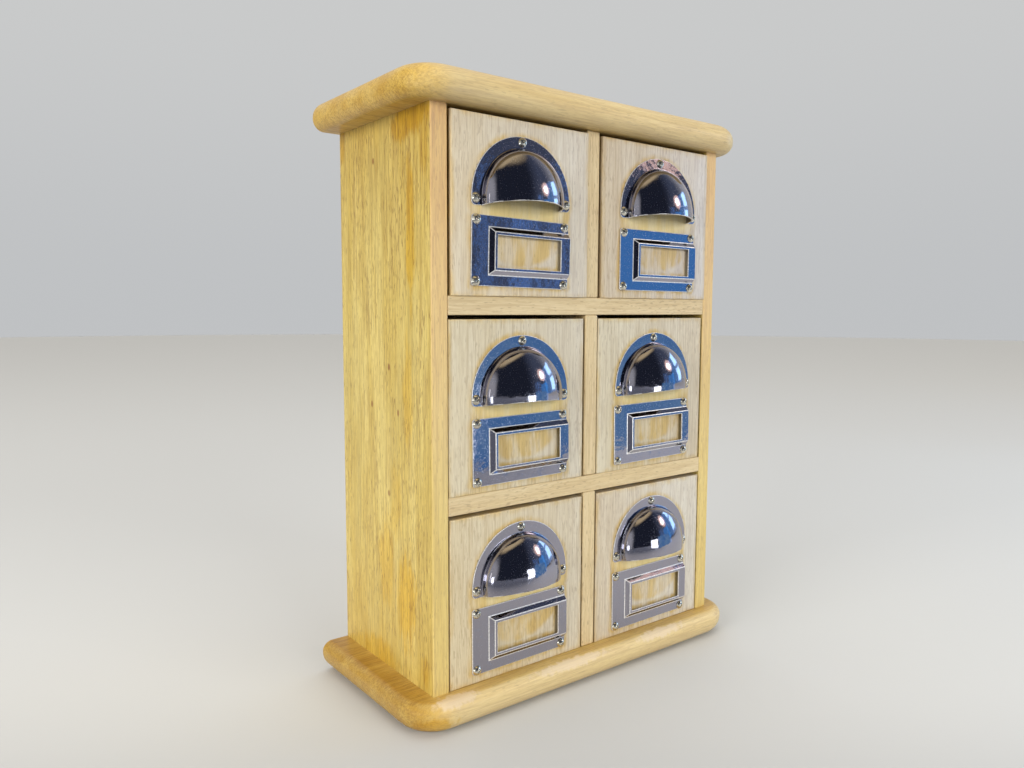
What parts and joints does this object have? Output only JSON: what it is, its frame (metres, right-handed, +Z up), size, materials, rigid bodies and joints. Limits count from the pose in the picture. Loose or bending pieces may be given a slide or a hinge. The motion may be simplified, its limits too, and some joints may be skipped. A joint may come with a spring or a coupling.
{
  "type": "spice drawer cabinet",
  "caption": "Small upright wooden cabinet with stacked sliding drawers, chromed cup pulls and label frames, rounded top and base slabs.",
  "frame": {"origin": "underside of the base slab, in the middle of its footprint", "axes": "+X to the right seen from the front, +Y to the back, +Z up; drawers open towards -Y"},
  "size_m": [0.23, 0.1078, 0.3095],
  "materials": {
    "carcass_wood": "satin varnish",
    "slab_wood": "satin varnish",
    "drawer_front_wood": "satin varnish",
    "drawer_wood": "bare",
    "plywood": "bare",
    "dowel_wood": "bare",
    "chrome": "mirror polished",
    "screw_steel": "bright plated",
    "pin_steel": "plain"
  },
  "bodies": {
    "carcass": {"base_slab": "slab_wood", "top_slab": "slab_wood", "carcass_side_left": "carcass_wood", "carcass_side_right": "carcass_wood", "shelf_lower": "carcass_wood", "shelf_upper": "carcass_wood", "divider_lower": "carcass_wood", "divider_middle": "carcass_wood", "divider_upper": "carcass_wood", "back_panel": "plywood", "carcass_dowels": "dowel_wood", "back_panel_pins": "pin_steel"},
    "top_left_drawer": {"top_left_front": "drawer_front_wood", "top_left_side_left": "drawer_wood", "top_left_side_right": "drawer_wood", "top_left_back": "drawer_wood", "top_left_bottom": "plywood", "top_left_cup_pull": "chrome", "top_left_label_frame": "chrome", "top_left_screws": "screw_steel"},
    "top_right_drawer": {"top_right_front": "drawer_front_wood", "top_right_side_left": "drawer_wood", "top_right_side_right": "drawer_wood", "top_right_back": "drawer_wood", "top_right_bottom": "plywood", "top_right_cup_pull": "chrome", "top_right_label_frame": "chrome", "top_right_screws": "screw_steel"},
    "middle_left_drawer": {"middle_left_front": "drawer_front_wood", "middle_left_side_left": "drawer_wood", "middle_left_side_right": "drawer_wood", "middle_left_back": "drawer_wood", "middle_left_bottom": "plywood", "middle_left_cup_pull": "chrome", "middle_left_label_frame": "chrome", "middle_left_screws": "screw_steel"},
    "middle_right_drawer": {"middle_right_front": "drawer_front_wood", "middle_right_side_left": "drawer_wood", "middle_right_side_right": "drawer_wood", "middle_right_back": "drawer_wood", "middle_right_bottom": "plywood", "middle_right_cup_pull": "chrome", "middle_right_label_frame": "chrome", "middle_right_screws": "screw_steel"},
    "bottom_left_drawer": {"bottom_left_front": "drawer_front_wood", "bottom_left_side_left": "drawer_wood", "bottom_left_side_right": "drawer_wood", "bottom_left_back": "drawer_wood", "bottom_left_bottom": "plywood", "bottom_left_cup_pull": "chrome", "bottom_left_label_frame": "chrome", "bottom_left_screws": "screw_steel"},
    "bottom_right_drawer": {"bottom_right_front": "drawer_front_wood", "bottom_right_side_left": "drawer_wood", "bottom_right_side_right": "drawer_wood", "bottom_right_back": "drawer_wood", "bottom_right_bottom": "plywood", "bottom_right_cup_pull": "chrome", "bottom_right_label_frame": "chrome", "bottom_right_screws": "screw_steel"}
  },
  "joints": [
    {"name": "top_left_drawer_slide", "type": "slide", "parent": "carcass", "child": "top_left_drawer", "axis": [0, -1, 0], "range_m": [-0.0013, 0.065]},
    {"name": "top_right_drawer_slide", "type": "slide", "parent": "carcass", "child": "top_right_drawer", "axis": [0, -1, 0], "range_m": [-0.001, 0.065]},
    {"name": "middle_left_drawer_slide", "type": "slide", "parent": "carcass", "child": "middle_left_drawer", "axis": [0, -1, 0], "range_m": [0, 0.065]},
    {"name": "middle_right_drawer_slide", "type": "slide", "parent": "carcass", "child": "middle_right_drawer", "axis": [0, -1, 0], "range_m": [0, 0.065]},
    {"name": "bottom_left_drawer_slide", "type": "slide", "parent": "carcass", "child": "bottom_left_drawer", "axis": [0, -1, 0], "range_m": [0, 0.065]},
    {"name": "bottom_right_drawer_slide", "type": "slide", "parent": "carcass", "child": "bottom_right_drawer", "axis": [0, -1, 0], "range_m": [0, 0.065]}
  ]
}
